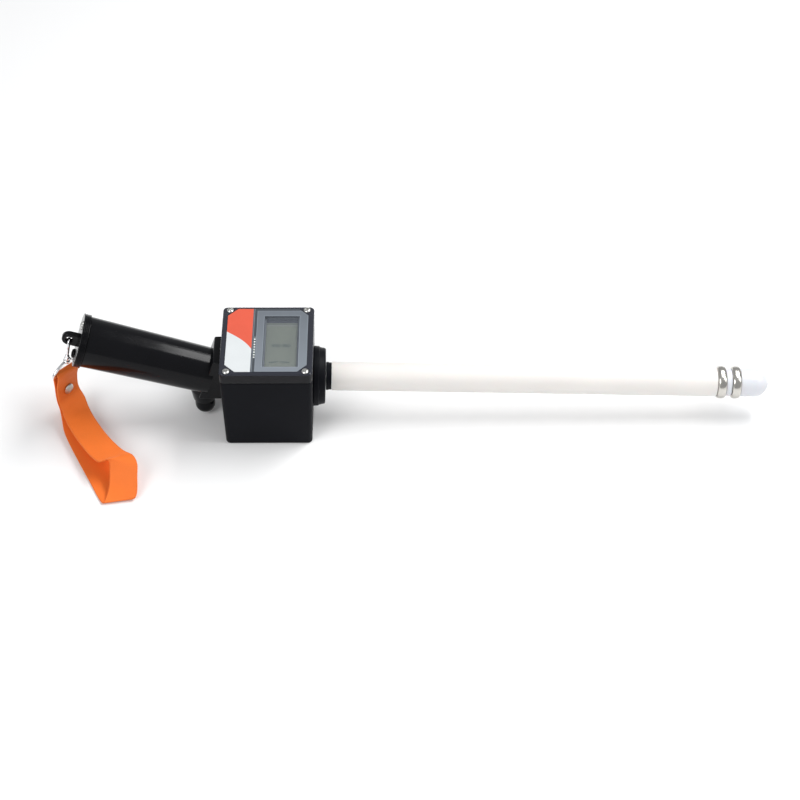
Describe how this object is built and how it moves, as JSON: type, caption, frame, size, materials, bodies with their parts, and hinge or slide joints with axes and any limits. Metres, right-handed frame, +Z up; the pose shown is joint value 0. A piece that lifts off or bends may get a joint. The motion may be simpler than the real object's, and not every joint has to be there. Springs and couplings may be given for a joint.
{
  "type": "grain moisture meter",
  "caption": "Hand-held grain moisture probe: tube with two ring electrodes, square display head, tilted round handle with a button, wrist strap.",
  "frame": {"origin": "centre of the head's base face", "axes": "+X along the probe to its tip, +Y away from the side the display is read from, +Z up out of the display"},
  "size_m": [0.623, 0.1543, 0.1086],
  "materials": {
    "head_plastic": "satin blue-black moulded ABS",
    "grip_plastic": "gloss black moulded plastic",
    "clear_plastic": "clear polycarbonate",
    "black_rubber": "black rubber",
    "chrome_plate": "polished",
    "screw_steel": "zinc plated",
    "electrode_steel": "polished stainless steel",
    "label_print": "printed film, orange and light grey",
    "window_film": "tinted clear film with a printed border",
    "display_bezel": "grey moulded frame",
    "display_glass": "grey-green liquid crystal display",
    "board_green": "green circuit board with parts",
    "tube_white": "warm white pipe",
    "tip_white": "cool white moulded plastic",
    "cell_jacket": "printed battery jacket",
    "orange_web": "woven orange webbing"
  },
  "bodies": {
    "meter": {"head_body": "head_plastic", "clear_lid": "clear_plastic", "lid_seal": "black_rubber", "face_label": "label_print", "face_window": "window_film", "lcd_frame": "display_bezel", "lcd_glass": "display_glass", "circuit_board": "board_green", "lid_screw_1": "chrome_plate", "board_screw_1": "screw_steel", "lid_screw_2": "chrome_plate", "board_screw_2": "screw_steel", "lid_screw_3": "chrome_plate", "board_screw_3": "screw_steel", "lid_screw_4": "chrome_plate", "board_screw_4": "screw_steel", "probe_flange": "head_plastic", "flange_nut": "head_plastic", "probe_collar": "head_plastic", "probe_tube": "tube_white", "electrode_ring_rear": "electrode_steel", "electrode_spacer": "tip_white", "electrode_ring_front": "electrode_steel", "probe_tip": "tip_white", "sensor_board": "board_green", "handle_shell": "grip_plastic", "handle_screw_1": "screw_steel", "handle_screw_2": "screw_steel", "handle_screw_3": "screw_steel", "handle_screw_4": "screw_steel", "button_spring": "screw_steel", "micro_switch": "head_plastic", "battery_tray": "head_plastic", "battery_cell_1": "cell_jacket", "battery_cell_2": "cell_jacket", "battery_cell_3": "cell_jacket", "battery_cell_4": "cell_jacket", "end_cap": "grip_plastic", "cap_seal": "black_rubber", "cap_screw_1": "grip_plastic", "cap_screw_2": "chrome_plate"},
    "button": {"measure_button": "grip_plastic"},
    "hook": {"hook_body": "chrome_plate"},
    "gate": {"hook_gate": "chrome_plate"},
    "ring": {"strap_ring": "chrome_plate"},
    "strap": {"wrist_strap": "orange_web", "strap_rivet": "screw_steel"}
  },
  "joints": [
    {"name": "button_press", "type": "slide", "parent": "meter", "child": "button", "axis": [0, 0, 1], "range_m": [0, 0.0025], "stiffness_N_per_m": 700, "springref_m": -0.0015, "deforming": ["button_spring"]},
    {"name": "hook_swing", "type": "hinge", "parent": "meter", "child": "hook", "pos_m": [-0.16873, 0, 0.089], "axis": [0, 1, 0], "range_deg": [-4, 110]},
    {"name": "hook_gate_open", "type": "hinge", "parent": "hook", "child": "gate", "pos_m": [-0.1726, -0.0016, 0.06907], "axis": [-0.9816, 0, 0.1908], "range_deg": [0, 22], "stiffness_Nm_per_rad": 0.03, "springref_deg": -14.32},
    {"name": "ring_swivel", "type": "hinge", "parent": "hook", "child": "ring", "pos_m": [-0.17365, 0, 0.06368], "axis": [0.1908, 0, 0.9816], "range_deg": [-150, 35]},
    {"name": "strap_swing", "type": "hinge", "parent": "ring", "child": "strap", "pos_m": [-0.17613, 0, 0.05092], "axis": [0.6043, 0.788, -0.1175], "range_deg": [-20, 45]}
  ]
}
